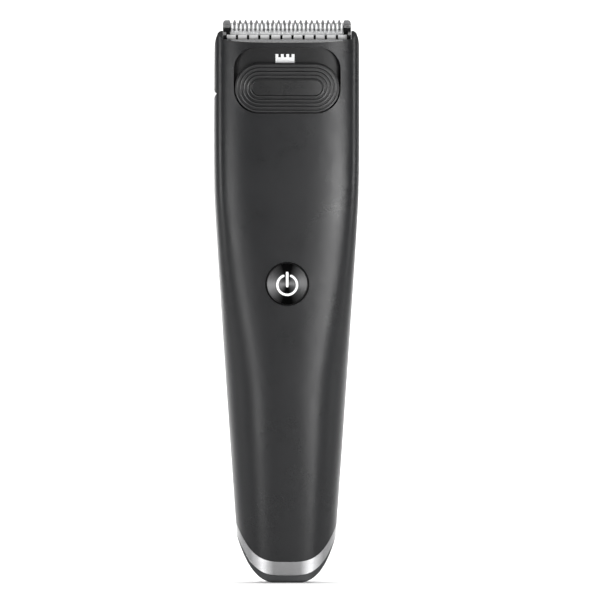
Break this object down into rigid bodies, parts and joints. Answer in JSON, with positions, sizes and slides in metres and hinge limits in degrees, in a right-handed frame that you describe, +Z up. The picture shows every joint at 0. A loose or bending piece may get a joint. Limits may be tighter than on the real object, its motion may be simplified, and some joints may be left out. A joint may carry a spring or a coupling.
{
  "type": "beard trimmer",
  "caption": "Upright cordless beard trimmer: tapered dark grey body, toothed blade head leaning forward, thumb slider with comb symbol, round power button, brushed band over a rounded base",
  "frame": {"origin": "centre of the flat bottom of the base, at the lowest point", "axes": "+X right seen from the front, front with button and slider faces -Y, +Z up along the handle to the blade tips"},
  "size_m": [0.0414, 0.032, 0.16],
  "materials": {
    "housing_grey": "satin dark grey plastic",
    "panel_black": "fine matt black",
    "slider_black": "smooth satin black",
    "icon_white": "white printed relief",
    "band_brushed": "horizontally brushed",
    "button_spun": "spun black metallic",
    "ring_black": "gloss black",
    "base_dark": "matt dark grey",
    "frame_black": "matt black moulded",
    "blade_steel": "ground steel",
    "cutter_steel": "polished steel",
    "comb_silver": "bright satin steel",
    "screw_steel": "zinc plated",
    "spring_steel": "spring wire",
    "drive_white": "acetal",
    "motor_can_steel": "nickel plated",
    "motor_cap": "moulded",
    "bush_brass": "sintered",
    "magnet_dark": "ferrite",
    "rotor_steel": "laminated",
    "chassis_grey": "moulded",
    "cell_wrap": "shrink wrap",
    "nickel_strip": "nickel",
    "board_green": "solder mask",
    "chip_black": "epoxy",
    "lead_red": "wire cover"
  },
  "bodies": {
    "housing": {"front_shell": "housing_grey", "back_shell": "housing_grey", "housing_screws": "screw_steel", "trim_band": "band_brushed", "base_cap": "base_dark", "base_frame": "frame_black", "charging_socket": "nickel_strip", "socket_tongue": "chip_black", "charge_board": "board_green", "slider_panel": "panel_black", "comb_icon": "icon_white", "comb_guide": "frame_black", "hinge_pin": "screw_steel", "hinge_bracket": "frame_black", "motor_can": "motor_can_steel", "motor_bush": "bush_brass", "motor_end_cap": "motor_cap", "motor_magnets": "magnet_dark", "motor_mount": "chassis_grey", "motor_screws": "screw_steel", "chassis": "chassis_grey", "battery_cell": "cell_wrap", "battery_tabs": "nickel_strip", "circuit_board": "board_green", "push_switch": "chip_black", "board_chips": "chip_black", "supply_leads": "lead_red", "button_ring": "ring_black", "index_mark": "icon_white"},
    "button_body": {"power_button": "button_spun", "power_icon": "icon_white"},
    "slider_body": {"thumb_slider": "slider_black", "slider_link": "frame_black"},
    "comb_body": {"thinning_comb": "comb_silver", "comb_carrier": "drive_white"},
    "head_body": {"blade_frame": "frame_black", "fixed_blade": "blade_steel", "blade_screws": "screw_steel", "cutter_spring": "spring_steel"},
    "cutter_body": {"cutter_blade": "cutter_steel", "drive_block": "drive_white"},
    "rotor_body": {"motor_shaft": "screw_steel", "motor_armature": "rotor_steel", "eccentric_hub": "drive_white", "eccentric_pin": "screw_steel"}
  },
  "joints": [
    {"name": "power_button_press", "type": "slide", "parent": "housing", "child": "button_body", "axis": [0, 1, 0], "range_m": [0, 0.0005], "stiffness_N_per_m": 4000, "springref_m": -0.0003},
    {"name": "thumb_slider_slide", "type": "slide", "parent": "housing", "child": "slider_body", "axis": [0, 0, 1], "range_m": [0, 0.003]},
    {"name": "thinning_comb_slide", "type": "slide", "parent": "housing", "child": "comb_body", "axis": [0, -0.5736, 0.8192], "range_m": [0, 0.00366]},
    {"name": "blade_head_tilt", "type": "hinge", "parent": "housing", "child": "head_body", "pos_m": [0, 0.00496, 0.13446], "axis": [-1, 0, 0], "range_deg": [0, 40]},
    {"name": "cutter_oscillation", "type": "slide", "parent": "head_body", "child": "cutter_body", "axis": [1, 0, 0], "range_m": [-0.00075, 0.00075]},
    {"name": "motor_spin", "type": "hinge", "parent": "housing", "child": "rotor_body", "pos_m": [0, -0.003, 0.1], "axis": [0, 0, 1], "continuous": true}
  ],
  "couplings": [
    {"joint": "thinning_comb_slide", "follows": "thumb_slider_slide", "ratio": 1.2208}
  ]
}
